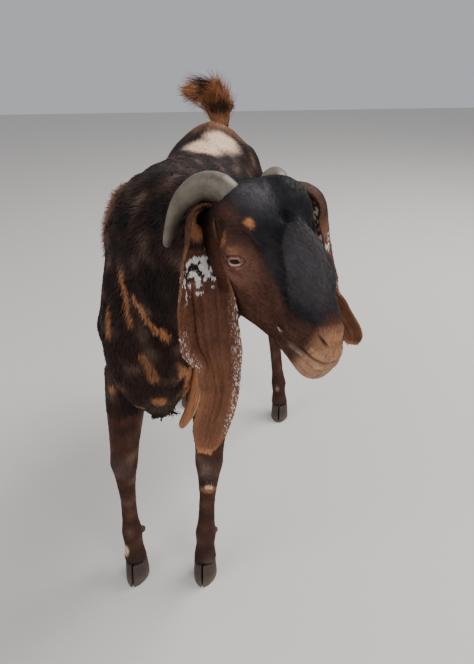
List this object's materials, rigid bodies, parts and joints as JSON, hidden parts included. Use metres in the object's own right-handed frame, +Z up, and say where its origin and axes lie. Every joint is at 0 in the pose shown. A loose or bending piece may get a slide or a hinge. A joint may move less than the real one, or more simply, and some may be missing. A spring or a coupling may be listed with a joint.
{
  "type": "sirohi goat",
  "caption": "Life-size standing Sirohi goat, head turned to its left, with long hanging ears, curved horns and a raised tail.",
  "frame": {"origin": "on the floor under the middle of the whole goat's box", "axes": "+Z up, the goat's body looks along -Y, its own left side is +X, and its head is turned towards +X"},
  "size_m": [0.4729, 0.9768, 0.8854],
  "materials": {
    "coat_dark": "short glossy dark brown to black hair",
    "coat_head": "short brown and black hair of the face",
    "coat_tail": "longer orange-brown hair of the tail",
    "ear_skin": "thin haired ear skin",
    "horn": "grey-brown horn with shallow rings",
    "hoof": "dark hoof horn",
    "eye": "wet dark eyeball"
  },
  "bodies": {
    "root": {"torso": "coat_dark", "neck": "coat_dark", "foreleg_left": "coat_dark", "foreleg_right": "coat_dark", "hindleg_left": "coat_dark", "hindleg_right": "coat_dark", "head": "coat_head", "tail": "coat_tail", "eye_left": "eye", "horn_left": "horn", "ear_left": "ear_skin", "hoof_fore_left_outer": "hoof", "dewclaw_fore_left_outer": "hoof", "hoof_fore_left_inner": "hoof", "dewclaw_fore_left_inner": "hoof", "hoof_hind_left_outer": "hoof", "dewclaw_hind_left_outer": "hoof", "hoof_hind_left_inner": "hoof", "dewclaw_hind_left_inner": "hoof", "eye_right": "eye", "horn_right": "horn", "ear_right": "ear_skin", "hoof_fore_right_outer": "hoof", "dewclaw_fore_right_outer": "hoof", "hoof_fore_right_inner": "hoof", "dewclaw_fore_right_inner": "hoof", "hoof_hind_right_outer": "hoof", "dewclaw_hind_right_outer": "hoof", "hoof_hind_right_inner": "hoof", "dewclaw_hind_right_inner": "hoof"}
  },
  "joints": []
}
